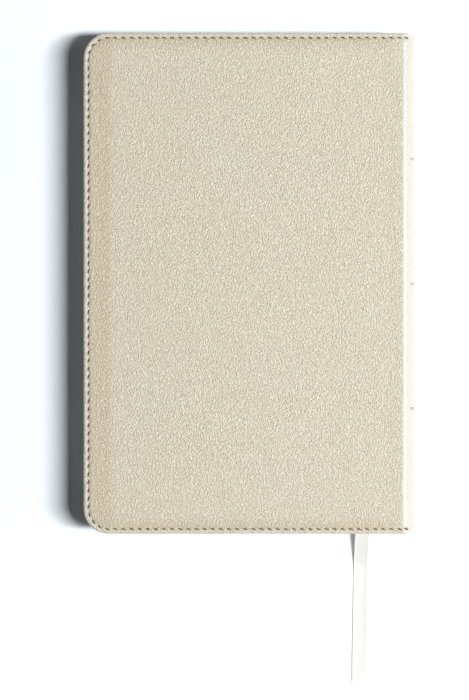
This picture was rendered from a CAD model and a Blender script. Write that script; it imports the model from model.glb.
"""The looks of a sewn Bible in a flexible leather-like cover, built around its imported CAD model.

It lies on its front cover, with the spine towards +X and the head of the pages towards +Y. Helpers work in
millimetres, and new_piece() turns them into metres.
"""

import math

import bmesh
import bpy
import numpy as np
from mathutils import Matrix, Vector


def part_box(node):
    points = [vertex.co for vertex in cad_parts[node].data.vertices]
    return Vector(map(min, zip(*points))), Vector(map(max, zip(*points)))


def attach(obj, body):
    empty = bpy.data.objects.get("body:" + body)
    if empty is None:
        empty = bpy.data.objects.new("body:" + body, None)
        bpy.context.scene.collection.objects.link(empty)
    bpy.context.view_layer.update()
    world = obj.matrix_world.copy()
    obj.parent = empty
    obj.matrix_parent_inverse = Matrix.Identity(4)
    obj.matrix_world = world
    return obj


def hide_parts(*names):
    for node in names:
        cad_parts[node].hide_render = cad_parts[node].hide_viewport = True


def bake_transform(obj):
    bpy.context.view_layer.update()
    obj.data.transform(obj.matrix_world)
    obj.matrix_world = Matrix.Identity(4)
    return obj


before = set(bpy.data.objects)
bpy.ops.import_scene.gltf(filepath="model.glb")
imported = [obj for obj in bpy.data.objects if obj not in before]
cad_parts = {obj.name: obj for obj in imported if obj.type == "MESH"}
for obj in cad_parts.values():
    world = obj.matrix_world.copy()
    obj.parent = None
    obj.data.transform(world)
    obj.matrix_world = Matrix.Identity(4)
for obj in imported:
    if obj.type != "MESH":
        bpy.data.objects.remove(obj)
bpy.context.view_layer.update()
random_draws = np.random.default_rng(24)

# ---------- measures, in millimetres ----------

MM = 0.001


def box_mm(node):
    """Lowest and highest corner of a CAD node, in millimetres."""
    low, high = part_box(node)
    return low / MM, high / MM


cover_low, cover_high = box_mm("back_leather")
LEFT = cover_low.x
PANEL_X = cover_high.x
HALF_H = cover_high.y
TOTAL_T = cover_high.z
COVER_T = TOTAL_T - cover_low.z     # skin, board and turned-in skin
CROWN_X = box_mm("spine_leather")[1].x
MID_Z = TOTAL_T / 2
ALL_SECTIONS = 24
FIXED_SECTIONS = 15                 # those that stay on the front cover
RIBBON_SECTION = 4                  # the one that the ribbon lies on
SPINE_R = 23                        # outside radius of the spine, as in the CAD model
ARC_X = CROWN_X - SPINE_R

# outside and inside radius of each layer in the spine, and the radius of each line of thread or cord there
STIFFENER_R = (22.4, 22.0)
LINING_R = (21.7, 21.5)
WARP_R = (21.49, 21.36)
WEFT_R = 21.29
LINK_R = 21.07
BAND_R = 20.65

CORNER_R = 11
SKIN_T = 0.6
SPINE_HEM_T = 2 * SKIN_T            # the spine's skin, turned in with no board
TURN_IN = 12                        # width of the skin that is turned in over the board
SPINE_TURN_IN = 4
BOARD_IN = 1                        # from the cover's edge to the board's
WINDOW_R = 1.5                      # corners of the opening that the turned-in skin leaves
EDGE_ROLL = 0.45                    # radius of the rolled edge, as a share of the thickness there
TURN_IN_STEP = 0.14                 # how far the face drops where the turned-in skin ends
WAVES = 0.05                        # height of the face's soft waves, and of its finer creases
CREASES = 0.014

STITCH_INSET = 2.1
STITCH_PITCH = 3.5
STITCH_L = 2.2
STITCH_W = 0.56
STITCH_LEAN = math.tan(math.radians(14))
THREAD_SINK = 0.29                  # how far a stitch's middle lies below the face, and its ends below that
THREAD_DIP = 0.42
VALLEY_DEPTH = 0.2                  # how far the whole row is drawn down, each stitch's slit below that,
SLIT_DEPTH = 0.32                   # and how far the skin between two stitches stands up again
BRIDGE_RISE = 0.06

# where the skins of the two covers meet on the spine, and where each one bends
SEAM_Z = 10.0

# the free ribbon's route in the CAD model, and how far its cut end slants either way
RIBBON_ROUTE = [
    [49.5, -105, 6.05], [49.4, -108, 5.7], [49.4, -110, 5.1], [49.3, -112, 4.35],
    [49.2, -115, 3.15], [49.1, -117.5, 2.15], [49.0, -120, 1.2], [48.9, -122.5, 0.5],
    [48.9, -125, 0.2], [48.8, -130, 0.15], [48.7, -136, 0.15], [48.6, -142, 0.15],
    [48.5, -148, 0.15], [48.4, -154, 0.15], [48.3, -160, 0.15], [48.2, -166, 0.15],
    [48.2, -172, 0.15]
]
RIBBON_SLANT = 2.7
RIBBON_T = 0.2
RIBBON_CURL = 0.2                   # how far its left edge stands up


# ---------- helpers ----------

def smooth_step(value):
    """0 below 0, 1 above 1 and smooth between."""
    t = np.clip(value, 0, 1)
    return t * t * (3 - 2 * t)


def smooth_path(points, step):
    """Points about step apart on a smooth curve through the given ones."""
    points = np.array(points, float)
    ends = np.vstack([2 * points[0] - points[1], points, 2 * points[-1] - points[-2]])
    made = []
    for n in range(len(points) - 1):
        p0, p1, p2, p3 = ends[n:n + 4]
        count = max(1, round(float(np.linalg.norm(p2 - p1)) / step))
        for t in np.arange(count) / count:
            made.append(0.5 * (2 * p1 + (p2 - p0) * t + (2 * p0 - 5 * p1 + 4 * p2 - p3) * t ** 2
                               + (3 * p1 - p0 - 3 * p2 + p3) * t ** 3))
    made.append(points[-1])
    return np.array(made)


def ripple(x, y, waves, shortest, longest):
    """A smooth random relief from -1 to 1, as a sum of sine waves of those lengths."""
    total = np.zeros(np.broadcast(x, y).shape)
    weight = 0
    for _ in range(waves):
        length = random_draws.uniform(shortest, longest)
        heading = random_draws.uniform(0, 2 * math.pi)
        phase = random_draws.uniform(0, 2 * math.pi)
        along = x * math.cos(heading) + y * math.sin(heading)
        total += length * np.sin(2 * math.pi * along / length + phase)
        weight += length
    return total / weight


def grid_faces(rows, columns, start=0, closed=False):
    """Quads of a grid of vertices, row after row. closed joins each row's last column to its first."""
    across = columns if closed else columns - 1
    return [
        (start + i * columns + j, start + i * columns + (j + 1) % columns,
         start + (i + 1) * columns + (j + 1) % columns, start + (i + 1) * columns + j)
        for i in range(rows - 1) for j in range(across)
    ]


def tube_faces(rings, sides, start=0):
    """Faces of a closed tube of vertices, ring after ring, with both of its ends last."""
    last = start + (rings - 1) * sides
    ends = [tuple(first + n for n in range(sides)) for first in (start, last)]
    return grid_faces(rings, sides, start, closed=True) + ends


def new_piece(name, points, faces, material, flat_faces=()):
    """A mesh object from points in millimetres. It keeps each point's rest place for its material."""
    mesh = bpy.data.meshes.new(name)
    points = np.asarray(points, float) * MM
    mesh.from_pydata(points.tolist(), [], faces)
    tidy = bmesh.new()
    tidy.from_mesh(mesh)
    bmesh.ops.recalc_face_normals(tidy, faces=tidy.faces)
    for face in tidy.faces:
        face.smooth = True
    tidy.faces.ensure_lookup_table()
    for index in flat_faces:
        tidy.faces[index].smooth = False
    tidy.to_mesh(mesh)
    tidy.free()
    rest = mesh.attributes.new("rest", "FLOAT_VECTOR", "POINT")
    rest.data.foreach_set("vector", points.ravel())
    mesh.materials.append(material)
    piece = bpy.data.objects.new(name, mesh)
    bpy.context.scene.collection.objects.link(piece)
    return piece


def add_value(piece, name, values):
    """Stores one number for each of the piece's points, for its material."""
    attribute = piece.data.attributes.new(name, "FLOAT", "POINT")
    attribute.data.foreach_set("value", np.asarray(values, np.float32))


def bend_with_back(piece):
    """The piece's part above the opening goes with the back cover."""
    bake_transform(piece)


def bend_with_front(piece):
    """The piece's lowest part goes with the front cover."""
    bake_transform(piece)


# ---------- camera ----------

def make_camera():
    """Looks straight down, as the photo does, from far enough for its slight perspective."""
    camera = bpy.data.objects.new("camera", bpy.data.cameras.new("camera"))
    camera.data.lens = 150
    camera.data.sensor_width = 36
    camera.data.clip_end = 20
    camera.location = (-6.6 * MM, -28.7 * MM, 1.2835)
    bpy.context.scene.collection.objects.link(camera)
    bpy.context.scene.camera = camera


# ---------- materials ----------

class Shading:
    """A material under construction: a Principled shader and short calls to add nodes to it."""

    def __init__(self, name, from_rest=True):
        self.material = bpy.data.materials.new(name)
        self.material.use_nodes = True
        self.tree = self.material.node_tree
        self.shader = self.tree.nodes["Principled BSDF"]
        if from_rest:
            place = self.add("Attribute", attribute_name="rest").outputs["Vector"]
        else:
            place = self.add("TexCoord").outputs["Object"]
        self.place = self.scaled(place, (1 / MM,) * 3)

    def add(self, kind, inputs=(), **settings):
        """A node with those settings. Each of inputs is a socket's name or number, and its value or link."""
        node = self.tree.nodes.new("ShaderNode" + kind)
        for key, value in settings.items():
            setattr(node, key, value)
        for key, value in dict(inputs).items():
            self.feed(node.inputs[key], value)
        return node

    def feed(self, socket, value):
        """Links the socket to value, or sets it."""
        if isinstance(value, bpy.types.NodeSocket):
            self.tree.links.new(value, socket)
        else:
            socket.default_value = value

    def scaled(self, vector, scale):
        """The vector with each part multiplied."""
        return self.add("VectorMath", {0: vector, 1: scale}, operation="MULTIPLY").outputs[0]

    def noise(self, vector, scale, detail=2.0, roughness=0.5, distortion=0.0):
        """Noise from 0 to 1."""
        inputs = {"Vector": vector, "Scale": scale, "Detail": detail, "Roughness": roughness,
                  "Distortion": distortion}
        return self.add("TexNoise", inputs).outputs["Fac"]

    def math(self, operation, a, b=0.0, clamp=False):
        """One sum on two numbers."""
        return self.add("Math", {0: a, 1: b}, operation=operation, use_clamp=clamp).outputs[0]

    def spread(self, value, low, high, to_low=0.0, to_high=1.0):
        """value from low to high, stretched to the other range."""
        inputs = {"Value": value, "From Min": low, "From Max": high, "To Min": to_low, "To Max": to_high}
        return self.add("MapRange", inputs).outputs["Result"]

    def mix(self, share, a, b, blend="MIX"):
        """Colour a, with that share of b."""
        node = self.add("Mix", data_type="RGBA", blend_type=blend)
        self.feed(node.inputs[0], share)
        for socket, colour in ((node.inputs[6], a), (node.inputs[7], b)):
            self.feed(socket, colour if isinstance(colour, bpy.types.NodeSocket) else (*colour, 1))
        return node.outputs[2]

    def finish(self, colour, roughness, height, depth, **constants):
        """Feeds the shader: colour, roughness, a relief of depth millimetres and constant sockets."""
        self.feed(self.shader.inputs["Base Color"], colour)
        self.feed(self.shader.inputs["Roughness"], roughness)
        bump = self.add("Bump", {"Height": height, "Distance": depth * MM, "Strength": 1.0})
        self.feed(self.shader.inputs["Normal"], bump.outputs["Normal"])
        for name, value in constants.items():
            socket = name.replace("_", " ").title().replace("Ior", "IOR")
            self.shader.inputs[socket].default_value = value
        return self.material


def skin_material():
    """Champagne leather-like skin: pearly, with a fine pebble grain, smooth and bare in the joint."""
    s = Shading("champagne_skin")
    warp = s.add("TexNoise", {"Vector": s.place, "Scale": 0.7, "Detail": 2.0}).outputs["Color"]
    shift = s.add("VectorMath", {0: warp, 1: (0.5, 0.5, 0.5)}, operation="SUBTRACT").outputs[0]
    shift = s.scaled(shift, (1.5, 1.5, 1.5))
    bent = s.add("VectorMath", {0: shift, 1: s.place}, operation="ADD").outputs[0]
    cells = s.add("TexVoronoi", {"Vector": bent, "Scale": 1.4, "Smoothness": 0.25, "Randomness": 1.0},
                  feature="SMOOTH_F1").outputs["Distance"]
    pebbles = s.spread(cells, 0.65, 0.1)
    folds = s.noise(s.scaled(bent, (1.0, 0.75, 1.0)), 1.7, 2.0, 0.5, 0.2)
    fine = s.noise(s.place, 3.6, 2.0, 0.6)
    grain = s.math("ADD", s.math("MULTIPLY", pebbles, 0.6), s.math("MULTIPLY", folds, 0.7))
    relief = s.math("ADD", grain, s.math("MULTIPLY", fine, 0.12))
    pressed = s.add("Attribute", attribute_name="pressed").outputs["Fac"]
    height = s.math("MULTIPLY", relief, s.spread(pressed, 0.0, 1.0, 1.0, 0.08))
    mottle = s.noise(s.place, 0.03, 3.0, 0.55)
    base = s.mix(s.spread(grain, 0.42, 0.74), (0.572, 0.514, 0.400), (0.694, 0.640, 0.516))
    base = s.mix(s.spread(mottle, 0.35, 0.65, 0.0, 0.3), base, (0.602, 0.570, 0.478))
    edge = s.add("Attribute", attribute_name="edge_tone").outputs["Fac"]
    colour = s.mix(edge, base, (0.89, 0.835, 0.745), "MULTIPLY")
    colour = s.mix(pressed, colour, (0.79, 0.81, 0.85), "MULTIPLY")
    rough = s.spread(grain, 0.4, 0.95, 0.5, 0.42)
    roughness = s.math("SUBTRACT", rough, s.math("MULTIPLY", pressed, 0.1))
    return s.finish(colour, roughness, height, 0.54, ior=1.5, specular_ior_level=0.75,
                    specular_tint=(0.5, 0.74, 1.0, 1.0), sheen_weight=0.05)


def thread_material(name, colour, from_rest=True):
    """Twisted thread, with its fibres as fine streaks."""
    s = Shading(name, from_rest)
    streaks = s.noise(s.place, 9.0, 3.0, 0.6)
    dark = tuple(c * 0.62 for c in colour)
    shades = s.mix(s.spread(streaks, 0.3, 0.7), dark, colour)
    return s.finish(shades, 0.62, streaks, 0.03, sheen_weight=0.15)


def paper_material(name, colour, from_rest=False, roughness=0.75):
    """Smooth paper with faint fibres."""
    s = Shading(name, from_rest)
    fibres = s.noise(s.scaled(s.place, (1.0, 0.35, 1.0)), 3.5, 4.0, 0.6)
    cloud = s.noise(s.place, 0.06, 2.0)
    tone = s.math("ADD", s.math("MULTIPLY", fibres, 0.5), s.math("MULTIPLY", cloud, 0.5))
    dark = tuple(c * 0.9 for c in colour)
    return s.finish(s.mix(s.spread(tone, 0.3, 0.7), dark, colour), roughness, fibres, 0.008)


def cut_page_material():
    """The cut edges of the pages, where a leaf shows as a fine line."""
    s = Shading("page_edges")
    leaves = s.noise(s.scaled(s.place, (0.03, 0.03, 6.0)), 1.0, 4.0, 0.7)
    fibres = s.noise(s.place, 3.0, 3.0, 0.6)
    lines = s.mix(s.spread(leaves, 0.32, 0.68), (0.50, 0.47, 0.40), (0.72, 0.69, 0.62))
    colour = s.mix(s.spread(fibres, 0.3, 0.7, 0.0, 0.12), lines, (0.60, 0.57, 0.50))
    height = s.math("ADD", s.math("MULTIPLY", leaves, 0.9), s.math("MULTIPLY", fibres, 0.1))
    return s.finish(colour, 0.7, height, 0.03)


def satin_material():
    """Off-white satin: fine ribs of weft across it and a soft shine."""
    s = Shading("satin_ribbon")
    turned = s.scaled(s.place, (1.0, 1.0, 0.6))
    ribs = s.add("TexWave", {"Vector": turned, "Scale": 0.95, "Distortion": 0.25, "Detail": 1.0},
                 bands_direction="Y").outputs["Fac"]
    warps = s.add("TexWave", {"Vector": s.place, "Scale": 1.25, "Distortion": 0.2},
                  bands_direction="X").outputs["Fac"]
    cloud = s.noise(s.place, 0.25, 2.0)
    weave = s.math("ADD", s.math("MULTIPLY", ribs, 0.6), s.math("MULTIPLY", warps, 0.4))
    base = s.mix(weave, (0.58, 0.575, 0.56), (0.66, 0.66, 0.645))
    colour = s.mix(s.spread(cloud, 0.35, 0.65, 0.0, 0.3), base, (0.63, 0.63, 0.62))
    return s.finish(colour, s.spread(weave, 0.0, 1.0, 0.48, 0.36), weave, 0.02, sheen_weight=0.25,
                    anisotropic=0.4)


def board_material(name, dark, light, grain):
    """Pressed board: coarse short fibres and specks."""
    s = Shading(name, from_rest=False)
    fibres = s.noise(s.scaled(s.place, (1.0, 0.4, 1.0)), grain, 5.0, 0.7)
    specks = s.spread(s.noise(s.place, 2.2, 2.0), 0.62, 0.7)
    base = s.mix(s.spread(fibres, 0.3, 0.7), dark, light)
    return s.finish(s.mix(s.math("MULTIPLY", specks, 0.35), base, (0.2, 0.17, 0.12)), 0.85, fibres, 0.05)


def woven_material(name, dark, light, pitch):
    """Open plain weave, by two crossed waves."""
    s = Shading(name)
    scale = 1 / (pitch * 6.4)
    warp = s.add("TexWave", {"Vector": s.place, "Scale": scale * 3, "Distortion": 0.6},
                 bands_direction="Y").outputs["Fac"]
    weft = s.add("TexWave", {"Vector": s.place, "Scale": scale * 3, "Distortion": 0.6},
                 bands_direction="Z").outputs["Fac"]
    weave = s.math("MAXIMUM", warp, weft)
    return s.finish(s.mix(s.spread(weave, 0.35, 0.9), dark, light), 0.85, weave, 0.08)


def foil_material():
    """Dull grey stamping foil."""
    s = Shading("stamped_foil")
    wear = s.noise(s.place, 2.5, 4.0, 0.7)
    colour = s.mix(s.spread(wear, 0.4, 0.7), (0.24, 0.22, 0.18), (0.42, 0.39, 0.33))
    return s.finish(colour, 0.45, wear, 0.02)


# ---------- the skin of the cover ----------

# distances from a free edge at which the skin has lines of points
EDGE_STEPS = np.array([0, 0.12, 0.3, 0.55, 0.85, 1.15, 1.45, 1.7, 1.9, 2.1, 2.3, 2.5, 2.75, 3.1, 3.6, 4.3,
                       5.2, 6.2, 7.4, 8.6, 9.8, 11.0])
POINT_STEP = STITCH_PITCH / 4

# the joint's smooth slope, from the panel's end: across, and down from the panel's face. Past it starts the
# spine's round part, at a height above the spine's middle.
JOINT_PROFILE = [(-0.4, 0), (0.2, -0.01), (0.45, -0.06), (0.62, -0.15), (1.2, -0.27), (1.8, -0.39),
                 (2.25, -0.5)]
JOINT_W = JOINT_PROFILE[-1][0]
ARC_START_Z = 12.0

# the front skin stands out a little where it folds, so that the fold clears the table when the cover is open
FRONT_SWELL = 0.62
SWELL_Z = 9.9         # height of the swell above the spine's middle
SWELL_SPREAD = 1.3


class CoverPath:
    """The outer face's line from the fore edge to the seam on the spine, in X and Z.

    The front cover's is built the same way up as the back cover's, and turned over later.
    """

    def __init__(self, seam_z, front):
        flat_end = PANEL_X + JOINT_PROFILE[0][0]
        flat = np.arange(LEFT + CORNER_R + POINT_STEP, flat_end - POINT_STEP / 2, POINT_STEP)
        across = np.concatenate([LEFT + EDGE_STEPS, flat])
        panel = np.column_stack([across, np.full(len(across), TOTAL_T)])
        turned = np.arcsin(np.array([ARC_START_Z, seam_z - MID_Z]) / SPINE_R)
        count = round(float(turned[0] - turned[1]) * SPINE_R / 0.6)
        angles = np.linspace(turned[0], turned[1], count)
        arc = np.column_stack([ARC_X + SPINE_R * np.cos(angles), MID_Z + SPINE_R * np.sin(angles)])
        if front:
            arc[:, 0] += FRONT_SWELL * np.exp(-((arc[:, 1] - MID_Z - SWELL_Z) / SWELL_SPREAD) ** 2)
        joint = [(PANEL_X + dx, TOTAL_T + dz) for dx, dz in JOINT_PROFILE]
        joint = smooth_path([*joint, arc[0]], 0.35)
        self.points = np.vstack([panel, joint, arc[1:]])
        run = np.gradient(self.points, axis=0)
        run /= np.linalg.norm(run, axis=1)[:, None]
        self.normals = np.column_stack([-run[:, 1], run[:, 0]])
        steps = np.linalg.norm(np.diff(self.points, axis=0), axis=1)
        self.lengths = np.concatenate([[0], np.cumsum(steps)])
        past_panel = self.points[:, 0] - PANEL_X
        self.hem_t = COVER_T + (SPINE_HEM_T - COVER_T) * smooth_step((past_panel - 0.1) / 1.5)
        self.turn_in = TURN_IN + (SPINE_TURN_IN - TURN_IN) * smooth_step((past_panel + 9) / 9)

    def at(self, length):
        """Place and outward direction at those lengths along the line."""
        place = [np.interp(length, self.lengths, self.points[:, n]) for n in (0, 1)]
        outward = [np.interp(length, self.lengths, self.normals[:, n]) for n in (0, 1)]
        return np.column_stack(place), np.column_stack(outward)


ROW_R = CORNER_R - STITCH_INSET
ROW_FORE = HALF_H - CORNER_R          # half the row's straight run up the fore edge
ROW_CORNER = ROW_R * math.pi / 2
ROW_END = ROW_FORE + ROW_CORNER + PANEL_X + JOINT_W + 1.2 - LEFT - CORNER_R   # just past the joint


def stitch_shape(distance, along):
    """How far the stitches draw the skin down, at a distance from the edge and a place along the row."""
    from_stitch = (along / STITCH_PITCH - np.floor(along / STITCH_PITCH) - 0.5) * STITCH_PITCH
    off_row = distance - STITCH_INSET
    across = off_row - STITCH_LEAN * from_stitch
    within = smooth_step((STITCH_L / 2 + 0.45 - np.abs(from_stitch)) / 0.6) * (np.abs(along) < ROW_END)
    valley = VALLEY_DEPTH * np.exp(-(off_row / 0.7) ** 2)
    slit = SLIT_DEPTH * within * np.exp(-(across / 0.32) ** 4)
    bridge = BRIDGE_RISE * (1 - within) * np.exp(-(off_row / 0.5) ** 2)
    return valley + slit - bridge


class SkinGrid:
    """The outer face's points: rows along the cover's path, and columns up the height of the book.

    In a corner, squares of points become rings about the corner's centre, so the stitches follow them.
    """

    def __init__(self, path):
        inner_steps = round(2 * ROW_FORE / POINT_STEP)
        middle = np.linspace(-ROW_FORE, ROW_FORE, inner_steps + 1)
        self.up = np.concatenate([-HALF_H + EDGE_STEPS[:-1], middle, (HALF_H - EDGE_STEPS[:-1])[::-1]])
        self.rows, self.columns = len(path.points), len(self.up)

        x = np.repeat(path.points[:, 0:1], self.columns, axis=1)
        y = np.repeat(self.up[None, :], self.rows, axis=0)
        self.from_fore = x - LEFT
        self.from_end = HALF_H - np.abs(y)
        self.side = np.where(y < 0, -1.0, 1.0)
        nearest = np.minimum(self.from_fore, self.from_end)
        self.distance = np.where(x < PANEL_X - TURN_IN, nearest, self.from_end)

        u = np.clip(CORNER_R - self.from_fore, 0, None)
        v = np.clip(CORNER_R - self.from_end, 0, None)
        ring = np.maximum(u, v)
        safe = np.where(ring > 0, ring, 1)
        turned = np.where(u >= v, v / safe, 2 - u / safe) * math.pi / 4
        turned = np.where((self.from_fore > CORNER_R) | (ring == 0), math.pi / 2, turned)
        self.turned = np.where(self.from_end > CORNER_R, 0.0, turned)
        self.corner = (self.from_fore < CORNER_R) & (self.from_end < CORNER_R)
        ring_y = HALF_H - CORNER_R + ring * np.sin(self.turned)
        self.x = np.where(self.corner, LEFT + CORNER_R - ring * np.cos(self.turned), x)
        self.y = np.where(self.corner, self.side * ring_y, y)

        past_corner = np.where(self.from_fore > CORNER_R, path.lengths[:, None] - CORNER_R, 0)
        along = self.side * (ROW_FORE + ROW_R * self.turned + past_corner)
        self.along = np.where(self.turned == 0, self.y, along)
        self.on_panel = 1 - smooth_step((self.x - PANEL_X + 6) / 5)

    def relief(self, path):
        """How far each point lies below the path: rolled edges, stitches, turned-in skin and soft waves."""
        roll = np.repeat(EDGE_ROLL * path.hem_t[:, None], self.columns, axis=1)
        short = np.clip(roll - self.distance, 0, None)
        drop = roll - np.sqrt(roll ** 2 - short ** 2)
        drop += stitch_shape(self.distance, self.along) * smooth_step(self.distance / 0.8)
        drop += TURN_IN_STEP * smooth_step((self.distance - TURN_IN + 1.2) / 2.4) * self.on_panel
        drop += WAVES * (1 - ripple(self.x, self.y, 40, 7, 46)) * smooth_step((self.distance - 2.6) / 5)
        drop += CREASES * ripple(self.x, self.y, 60, 2.4, 5) * smooth_step((self.distance - 2.6) / 3)
        return drop

    def outer_points(self, path):
        """The outer face's points, each moved in along the path's normal by the relief."""
        drop = self.relief(path)
        nx, nz = path.normals[:, 0:1], path.normals[:, 1:2]
        spots = [self.x - nx * drop, self.y, path.points[:, 1:2] - nz * drop]
        return np.stack(spots, axis=2).reshape(-1, 3)

    def edge_tone(self):
        """Each point's share of the browner tone that the material has inside the stitches."""
        fore_tone = 0.75 * (1 - smooth_step((self.from_fore - 10.5) / 4))
        end_tone = 0.8 * (1 - smooth_step((self.from_end - 2.5) / 6))
        inside_row = smooth_step((self.distance - STITCH_INSET + 0.1) / 0.7)
        return (1 - (1 - fore_tone) * (1 - end_tone)) * inside_row * self.on_panel

    def pressed(self):
        """How flat each point is pressed: fully in the joint, and about half on the spine."""
        past_panel = self.x - PANEL_X
        on_spine = smooth_step((past_panel - JOINT_W) / 0.4)
        return smooth_step((past_panel - 0.4) / 0.2) * (1 - on_spine) + 0.55 * on_spine

    def free_edge(self):
        """Rows and columns of the points round the three free edges, from the spine's tail to its head."""
        order = [(i, 0) for i in range(self.rows - 1, 0, -1)]
        order += [(0, j) for j in range(self.columns)]
        order += [(i, self.columns - 1) for i in range(1, self.rows)]
        return np.array(order).T


def hem_rings(path, grid):
    """Rings of points about the free edges, from the rolled edge round to the inside of the skin."""
    row, column = grid.free_edge()
    edge_turn = grid.turned[row, column]
    edge_side = grid.side[row, column]
    edge_x = path.points[row, 0]
    edge_z = path.points[row, 1]
    edge_up = grid.up[column]
    hem_t = path.hem_t[row]
    in_corner = grid.corner[row, column] | (edge_turn == math.pi / 4)
    on_fore = (edge_turn == 0) & (row == 0)

    def hem_ring(inset, depth):
        """Points that far in from the free edges and that far down from the outer face."""
        r = np.maximum(CORNER_R - inset, WINDOW_R)
        centre_x = LEFT + inset + r
        centre_y = HALF_H - inset - r
        slid = (centre_x - LEFT - CORNER_R) * np.clip(1 - (edge_x - LEFT - CORNER_R) / 20, 0, 1)
        reach_y = np.where(in_corner, centre_y + r * np.sin(edge_turn), HALF_H - inset)
        px = np.where(in_corner, centre_x - r * np.cos(edge_turn), edge_x + slid)
        py = edge_side * reach_y
        px = np.where(on_fore, LEFT + inset, px)
        py = np.where(on_fore, edge_up * centre_y / ROW_FORE, py)
        outward = path.normals[row]
        return np.column_stack([px - outward[:, 0] * depth, py, edge_z - outward[:, 1] * depth])

    roll = EDGE_ROLL * hem_t
    turn_in = path.turn_in[row]
    board_in = np.full(len(row), BOARD_IN)
    pocket = np.maximum(hem_t - SKIN_T, SKIN_T + 0.02)
    rings = [hem_ring(roll * (1 - math.cos(b)), hem_t - roll * (1 - math.sin(b)))
             for b in np.radians([0, 30, 60, 90])]
    rings += [hem_ring(turn_in - 0.25, hem_t), hem_ring(turn_in, hem_t), hem_ring(turn_in, pocket)]
    rings += [hem_ring(board_in, pocket), hem_ring(board_in, SKIN_T)]
    return rings


def skin_faces(grid, ring_count):
    """Faces of the outer grid, of the rings joined to its free edge, and of the seam, which comes last."""
    rows, columns = grid.rows, grid.columns
    row, column = grid.free_edge()
    loop = len(row)
    first = rows * columns
    faces = grid_faces(rows, columns)
    previous = row * columns + column
    for n in range(ring_count):
        current = first + n * loop + np.arange(loop)
        faces += [(previous[k], previous[k + 1], current[k + 1], current[k]) for k in range(loop - 1)]
        previous = current
    half = (loop - 1) // 2
    faces += [(previous[k], previous[k + 1], previous[loop - 2 - k], previous[loop - 1 - k])
              for k in range(half - 1)]
    if loop % 2:
        faces.append((previous[half - 1], previous[half], previous[half + 1]))
    seam = [(rows - 1) * columns + j for j in range(columns)]
    head_end = [first + n * loop + loop - 1 for n in range(ring_count)]
    tail_end = [first + n * loop for n in reversed(range(ring_count))]
    faces.append(tuple(seam + head_end + tail_end))
    return [tuple(int(v) for v in face) for face in faces]


def cover_skin(name, seam_z, material, front):
    """One cover's skin: its outer face, rolled edges and turn-in, on round the spine to the seam."""
    path = CoverPath(seam_z, front)
    grid = SkinGrid(path)
    outer = grid.outer_points(path)
    rings = hem_rings(path, grid)
    points = np.vstack([outer, *rings])
    faces = skin_faces(grid, len(rings))
    if front:
        points = points * (1, 1, -1) + (0, 0, TOTAL_T)
    piece = new_piece(name, points, faces, material, [len(faces) - 1])
    inside = len(points) - len(outer)
    add_value(piece, "edge_tone", np.concatenate([grid.edge_tone().ravel(), np.full(inside, 0.2)]))
    add_value(piece, "pressed", np.concatenate([grid.pressed().ravel(), np.zeros(inside)]))
    return piece


# ---------- stitches ----------

def thread_shape():
    """One stitch's points about its middle: along, across and up, as rings of a twisted two-ply thread."""
    steps = 13
    sides = 10
    t = np.linspace(-1, 1, steps)[:, None]
    round_it = np.linspace(0, 2 * math.pi, sides, endpoint=False)[None, :]
    plies = 1 + 0.2 * np.cos(2 * (round_it - t * 2.6))
    radius = STITCH_W / 2 * plies * np.sqrt(1 - 0.9 * t ** 6)
    along = t * STITCH_L / 2 + 0 * round_it
    up = -THREAD_SINK - THREAD_DIP * t ** 2 + radius * np.sin(round_it)
    across = radius * np.cos(round_it)
    return np.stack([along, across, up], axis=2).reshape(-1, 3), tube_faces(steps, sides)


def stitch_row(name, seam_z, material, front):
    """The row round one cover, on over the joint, and its lower side inside the cover."""
    path = CoverPath(seam_z, front)
    panel_end = PANEL_X - LEFT - CORNER_R + ROW_FORE + ROW_CORNER
    outside = (np.arange(int(ROW_END / STITCH_PITCH + 0.5)) + 0.5) * STITCH_PITCH
    inside = np.arange(1, int(panel_end / STITCH_PITCH)) * STITCH_PITCH
    shape, shape_faces = thread_shape()
    points, faces = [], []
    for reach, depth, upward in ((outside, 0.0, 1), (inside, COVER_T, -1)):
        for side in (-1, 1):
            for s in reach:
                turned = min(max(s - ROW_FORE, 0) / ROW_R, math.pi / 2)
                if s < ROW_FORE:
                    outward = np.array([0.0, 1.0])
                    spot = np.array([LEFT + STITCH_INSET, side * s, TOTAL_T])
                elif turned < math.pi / 2:
                    outward = np.array([0.0, 1.0])
                    spot = np.array([LEFT + CORNER_R - ROW_R * math.cos(turned),
                                     side * (ROW_FORE + ROW_R * math.sin(turned)), TOTAL_T])
                else:
                    place, outward = path.at([s - ROW_FORE - ROW_CORNER + CORNER_R])
                    place, outward = place[0], outward[0]
                    spot = np.array([place[0], side * (HALF_H - STITCH_INSET), place[1]])
                normal = np.array([outward[0], 0, outward[1]])
                spot = spot - normal * depth
                inward = np.array([math.cos(turned), -side * math.sin(turned), 0])
                onward = np.cross(inward, normal) * -side
                heading = side * onward + STITCH_LEAN * inward
                heading /= np.linalg.norm(heading)
                sideways = np.cross(normal, heading)
                start = sum(len(p) for p in points)
                points.append(spot + shape[:, 0:1] * heading + shape[:, 1:2] * sideways
                              + shape[:, 2:3] * normal * upward)
                faces += [tuple(v + start for v in face) for face in shape_faces]
    points = np.vstack(points)
    if front:
        points = points * (1, 1, -1) + (0, 0, TOTAL_T)
    return new_piece(name, points, faces, material)


# ---------- ribbon marker ----------

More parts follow.
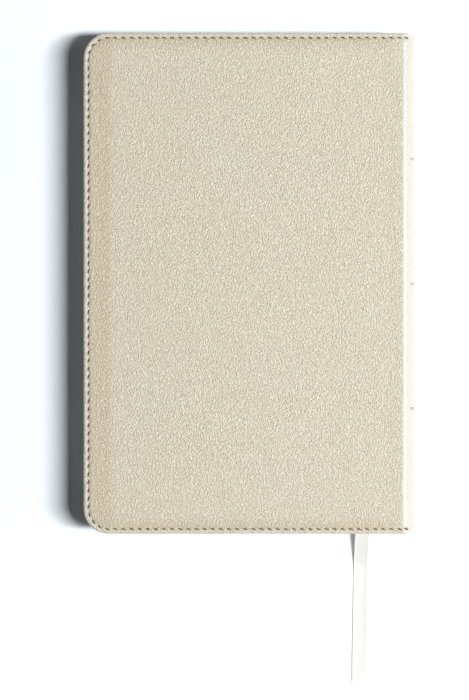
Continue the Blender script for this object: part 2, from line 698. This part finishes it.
def ribbon_strip(name, route, width, slant, material):
    """A satin ribbon along a route, with thicker selvedges and a slanted end."""
    line = smooth_path(route, 0.6)
    across = np.array([-1, -0.97, -0.9, -0.8, -0.5, 0, 0.5, 0.8, 0.9, 0.97, 1])
    thick = np.array([0.25, 0.85, 1.0, 0.72, 0.7, 0.7, 0.7, 0.72, 1.0, 0.85, 0.25]) * RIBBON_T / 2
    run = np.gradient(line, axis=0)
    up = np.column_stack([np.zeros(len(line)), -run[:, 2], run[:, 1]])
    up *= np.where(up[:, 2] < 0, -1, 1)[:, None] / np.linalg.norm(up, axis=1)[:, None]
    end_slant = slant * smooth_step(1 - (line[:, 1] - line[-1, 1]) / 12)
    curl = RIBBON_CURL * smooth_step((RIBBON_ROUTE[0][1] - line[:, 1]) / 10)
    profile = [(a, t) for a, t in zip(across, thick)] + [(a, -t) for a, t in zip(across[::-1], thick[::-1])]
    points = []
    for place, lift, lag, rise in zip(line, up, end_slant, curl):
        for a, t in profile:
            sideways = np.array([a * width / 2, a * lag, 0])
            points.append(place + sideways + lift * (t + rise * min(a, 0) ** 2))
    faces = tube_faces(len(line), len(profile))
    return new_piece(name, points, faces, material), line


def make_ribbon(material):
    """The length between the pages, and the free tail, which is a cord of that real length."""
    low, high = box_mm("ribbon_tail")
    in_high = box_mm("ribbon_in_book")[1]
    width = high.x - low.x - (RIBBON_ROUTE[0][0] - RIBBON_ROUTE[-1][0])
    tail, line = ribbon_strip("ribbon_marker_tail", RIBBON_ROUTE, width, RIBBON_SLANT, material)
    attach(tail, "text_block")
    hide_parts("ribbon_tail")
    head = [in_high.x - width / 2, in_high.y, RIBBON_ROUTE[0][2]]
    inside, _ = ribbon_strip("ribbon_marker_in_book", [head, RIBBON_ROUTE[0]], width, 0, material)
    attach(inside, "text_block")
    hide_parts("ribbon_in_book")


# ---------- pages ----------

PAGES_CLOSE = 0.14   # how far the pages above and below the ribbon close in round it


def page_section(number, cut_paper, face_paper):
    """A folded section: a stack of leaf edges with a round back, each leaf a little in or out."""
    node = f"section_{number:02d}"
    low, high = box_mm(node)
    low.z -= PAGES_CLOSE if number == RIBBON_SECTION + 1 else 0
    high.z += PAGES_CLOSE if number == RIBBON_SECTION else 0
    levels = 25
    fore_points = 25
    corner_r = 9
    gap = 0.01           # to the section above and below
    thick = high.z - low.z
    turned = np.radians(np.linspace(0, 90, 9))
    fore = np.linspace(-1, 1, fore_points)
    waves = 0.05 * ripple(np.linspace(0, 200, fore_points), np.full(fore_points, number * 7.0), 6, 30, 90)
    shift = random_draws.uniform(-0.07, 0.07)
    points = []
    for level in range(levels):
        z = low.z + gap + (thick - 2 * gap) * level / (levels - 1)
        leaf_in = random_draws.uniform(0.0, 0.05) + (0.035 if level % 2 else 0.0)
        height = 2 * (z - low.z) / thick - 1
        back = high.x - thick / 2 * (1 - math.sqrt(max(0.0, 1 - height ** 2))) - leaf_in
        x0 = low.x + shift + leaf_in
        half = high.y - leaf_in
        lower = [(x0 + corner_r * (1 - math.sin(a)), -half + corner_r * (1 - math.cos(a))) for a in turned]
        fore_line = [(x0 + w, f * (half - corner_r)) for f, w in zip(fore[1:-1], waves[1:-1])]
        upper = [(x, -y) for x, y in reversed(lower)]
        outline = [(back, -half), *lower, *fore_line, *upper, (back, half)]
        points += [(x, y, z) for x, y in outline]
    faces = tube_faces(levels, len(outline))
    flat = [len(faces) - 2, len(faces) - 1]
    piece = new_piece(f"{node}_leaves", points, faces, cut_paper, flat)
    piece.data.materials.append(face_paper)
    for index in flat:
        piece.data.polygons[index].material_index = 1
    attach(piece, "text_block" if number <= FIXED_SECTIONS else node)
    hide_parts(node)


# ---------- inside the spine ----------

def arc_line(radius, low_z, high_z, step):
    """Points of the spine's curve at that radius, between two heights."""
    turned = np.arcsin((np.array([low_z, high_z]) - MID_Z) / radius)
    count = max(2, round(float(turned[1] - turned[0]) * radius / step) + 1)
    angles = np.linspace(turned[0], turned[1], count)
    return np.column_stack([ARC_X + radius * np.cos(angles), MID_Z + radius * np.sin(angles)])


def arc_wall(name, outer_r, inner_r, low_z, high_z, ends, material, slot):
    """A thin wall of the spine's curve between two radii, once for each (low, high) of ends along Y."""
    outer = arc_line(outer_r, low_z, high_z, 0.5)
    inner = arc_line(inner_r, low_z, high_z, 0.5)
    count = min(len(outer), len(inner))
    pick = np.linspace(0, 1, count)
    rings = []
    for line in (outer, inner):
        own = np.linspace(0, 1, len(line))
        rings.append(np.column_stack([np.interp(pick, own, line[:, n]) for n in (0, 1)]))
    points, faces = [], []
    for low_y, high_y in ends:
        start = len(points)
        for n in range(count):
            for x_z, y in ((rings[0][n], low_y), (rings[0][n], high_y), (rings[1][n], high_y),
                           (rings[1][n], low_y)):
                points.append((x_z[0], y, x_z[1]))
        faces += tube_faces(count, 4, start)
    piece = new_piece(name, points, faces, material, range(len(faces)))
    bend_with_back(piece)
    return piece


def make_spine_layers():
    """Stiffener and lining, each bending where the book opens."""
    card = board_material("spine_card", (0.50, 0.45, 0.36), (0.62, 0.57, 0.47), 1.6)
    kraft = paper_material("kraft_lining", (0.52, 0.38, 0.24), from_rest=True, roughness=0.8)
    layers = (
        ("spine_stiffener", "spine_card_strip", STIFFENER_R, card, "card"),
        ("spine_lining", "spine_paper_lining", LINING_R, kraft, "kraft_paper"),
    )
    for node, name, (outer_r, inner_r), material, slot in layers:
        low, high = box_mm(node)
        piece = arc_wall(name, outer_r, inner_r, low.z, high.z, [(low.y, high.y)], material, slot)
        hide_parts(node)


def make_mull():
    """Open gauze: flat strands round the spine, and finer ones along it just inside them."""
    gauze = woven_material("mull_gauze", (0.52, 0.50, 0.44), (0.80, 0.79, 0.73), 0.9)
    low, high = box_mm("mull")
    pitch = 0.95
    strand_w = 0.42
    strands = [(y, y + strand_w) for y in np.arange(low.y, high.y, pitch)]
    warp = arc_wall("mull_gauze_warp", *WARP_R, low.z, high.z, strands, gauze, "mull_cloth")
    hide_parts("mull")
    half_w, half_t = 0.2, 0.07
    points, faces = [], []
    for x, z in arc_line(WEFT_R, low.z + 0.3, high.z - 0.3, pitch):
        start = len(points)
        for y in (low.y, high.y):
            points += [(x, y, z - half_w), (x + half_t, y, z), (x, y, z + half_w), (x - half_t, y, z)]
        faces += tube_faces(2, 4, start)
    weft = new_piece("mull_gauze_weft", points, faces, gauze)
    bend_with_back(weft)


def make_sewing_thread():
    """Pairs of twisted threads that run down the backs of the sections, at eight stations."""
    thread = thread_material("linen_thread", (0.82, 0.80, 0.74))
    low, high = box_mm("sewing_thread")
    stations = 8
    from_end = 0.6
    half_pair = 0.32
    sides = 6
    pitch = (high.y - low.y - 2 * from_end) / (stations - 1)
    points, faces = [], []
    for n in range(stations):
        for offset in (-half_pair, half_pair):
            line = arc_line(LINK_R, low.z, high.z, 0.28)
            y = low.y + from_end + n * pitch + offset
            start = len(points)
            for k, (x, z) in enumerate(line):
                radius = 0.12 * (1 + 0.25 * math.sin(k * 1.9))
                spin = k * 0.5
                for side in range(sides):
                    a = spin + 2 * math.pi * side / sides
                    points.append((x + radius * math.cos(a), y + radius * math.sin(a) * 1.4, z))
            faces += tube_faces(len(line), sides, start)
    link = new_piece("section_link_stitches", points, faces, thread)
    bend_with_back(link)
    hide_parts("sewing_thread")


def make_bands():
    """Head and tail bands: a cord wound with thread, one ridge to each turn."""
    silk = thread_material("band_silk", (0.80, 0.74, 0.58))
    sides = 14
    for node in ("headband", "tailband"):
        low, high = box_mm(node)
        middle_y = (low.y + high.y) / 2
        band_r = (high.y - low.y) / 2 - 0.04
        line = arc_line(BAND_R, low.z + band_r * 0.9, high.z - band_r * 0.9, 0.11)
        points = []
        for k, (x, z) in enumerate(line):
            radius = band_r * (0.93 + 0.07 * math.cos(2 * math.pi * k / 5))
            radius *= math.sqrt(min(1.0, (min(k, len(line) - 1 - k) + 0.6) / 6))
            out = np.array([x - ARC_X, z - MID_Z])
            out /= np.linalg.norm(out)
            for side in range(sides):
                a = 2 * math.pi * side / sides
                reach = radius * math.cos(a)
                points.append((x + out[0] * reach, middle_y + radius * math.sin(a), z + out[1] * reach))
        piece = new_piece(f"{node}_wound", points, tube_faces(len(line), sides), silk)
        bend_with_back(piece)
        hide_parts(node)


def make_spine_rules(material):
    """Three short plain rules stamped across the round of the spine."""
    half_w = 0.55
    low_z = 3.6
    line = arc_line(SPINE_R, low_z, TOTAL_T - low_z, 0.6)
    section = [(-half_w, -0.1), (-half_w * 0.8, 0.05), (half_w * 0.8, 0.05), (half_w, -0.1)]
    points, faces = [], []
    for y in (-HALF_H / 2, 0, HALF_H / 2):
        start = len(points)
        for x, z in line:
            out = np.array([x - ARC_X, z - MID_Z]) / SPINE_R
            points += [(x + out[0] * lift, y + dy, z + out[1] * lift) for dy, lift in section]
        faces += tube_faces(len(line), len(section), start)
    piece = new_piece("spine_rules", points, faces, material)
    bend_with_back(piece)


# ---------- the CAD's own pieces ----------

def finish_cad_nodes():
    """Boards, cards and endpapers keep their CAD shape and get their materials."""
    board = board_material("grey_board", (0.36, 0.33, 0.27), (0.52, 0.48, 0.40), 1.2)
    card = board_material("infill_card", (0.56, 0.52, 0.43), (0.68, 0.64, 0.55), 1.9)
    endpaper = paper_material("cream_endpaper", (0.82, 0.78, 0.68))
    for side in ("front", "back"):
        for part, material in (("board", board), ("infill", card), ("pastedown", endpaper),
                               ("flyleaf", endpaper)):
            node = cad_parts[f"{side}_{part}"]
            node.data.materials.clear()
            node.data.materials.append(material)


# ---------- floor and light ----------

def make_floor():
    """A plain pale floor, very slightly blue."""
    s = Shading("studio_floor", from_rest=False)
    cloud = s.noise(s.place, 0.004, 2.0)
    colour = s.mix(cloud, (0.82, 0.895, 0.965), (0.83, 0.905, 0.975))
    material = s.finish(colour, 0.9, cloud, 0.01)
    mesh = bpy.data.meshes.new("floor")
    reach = 3.0
    corners = [(-reach, -reach, 0), (reach, -reach, 0), (reach, reach, 0), (-reach, reach, 0)]
    mesh.from_pydata(corners, [], [(0, 1, 2, 3)])
    mesh.materials.append(material)
    floor = bpy.data.objects.new("floor", mesh)
    bpy.context.scene.collection.objects.link(floor)


def softbox(name, place, aim, width, height, energy, colour):
    """A rectangular area light at place, in metres, turned towards aim. Its width runs along Y."""
    light = bpy.data.lights.new(name, "AREA")
    light.shape = "RECTANGLE"
    light.size = width
    light.size_y = height
    light.energy = energy
    light.color = colour
    box = bpy.data.objects.new(name, light)
    box.location = place
    box.rotation_euler = (Vector(aim) - box.location).to_track_quat("-Z", "Y").to_euler()
    box.visible_camera = False
    bpy.context.scene.collection.objects.link(box)


def make_light():
    """A long softbox high on the right, a dimmer one low on the right and a sky that is bright low down."""
    softbox("key_softbox", place=(1.44, -0.2, 2.65), aim=(2.33, -0.2, 0), width=0.3, height=1.68,
            energy=170, colour=(1.0, 0.985, 0.96))
    softbox("side_softbox", place=(1.41, -0.1, 0.51), aim=(0, 0, 0), width=0.9, height=0.5,
            energy=7.5, colour=(1.0, 0.99, 0.97))
    world = bpy.data.worlds.new("studio")
    world.use_nodes = True
    nodes, links = world.node_tree.nodes, world.node_tree.links
    direction = nodes.new("ShaderNodeTexCoord")
    split = nodes.new("ShaderNodeSeparateXYZ")
    falloff = nodes.new("ShaderNodeMapRange")
    links.new(direction.outputs["Generated"], split.inputs[0])
    links.new(split.outputs["Z"], falloff.inputs["Value"])
    for socket, value in (("From Min", 0.1), ("From Max", 0.22), ("To Min", 0.9), ("To Max", 0.005)):
        falloff.inputs[socket].default_value = value
    background = nodes["Background"]
    background.inputs["Color"].default_value = (0.93, 0.96, 1.0, 1)
    links.new(falloff.outputs["Result"], background.inputs["Strength"])
    bpy.context.scene.world = world
    bpy.context.scene.view_settings.view_transform = "Standard"


def main():
    make_camera()
    make_ribbon(satin_material())
    skin = skin_material()
    back = cover_skin("back_cover_skin", SEAM_Z, skin, front=False)
    bend_with_back(back)
    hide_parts("back_leather", "spine_leather")
    front = cover_skin("front_cover_skin", TOTAL_T - SEAM_Z, skin, front=True)
    bend_with_front(front)
    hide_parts("front_leather")
    thread = thread_material("edge_thread", (0.07, 0.055, 0.028))
    back_row = stitch_row("back_edge_stitches", SEAM_Z, thread, front=False)
    bend_with_back(back_row)
    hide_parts("back_stitching")
    front_row = stitch_row("front_edge_stitches", TOTAL_T - SEAM_Z, thread, front=True)
    bend_with_front(front_row)
    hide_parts("front_stitching")
    cut_paper = cut_page_material()
    face_paper = paper_material("page_faces", (0.78, 0.76, 0.70), from_rest=True)
    for number in range(1, ALL_SECTIONS + 1):
        page_section(number, cut_paper, face_paper)
    make_spine_layers()
    make_mull()
    make_sewing_thread()
    make_bands()
    make_spine_rules(foil_material())
    finish_cad_nodes()
    make_floor()
    make_light()


main()
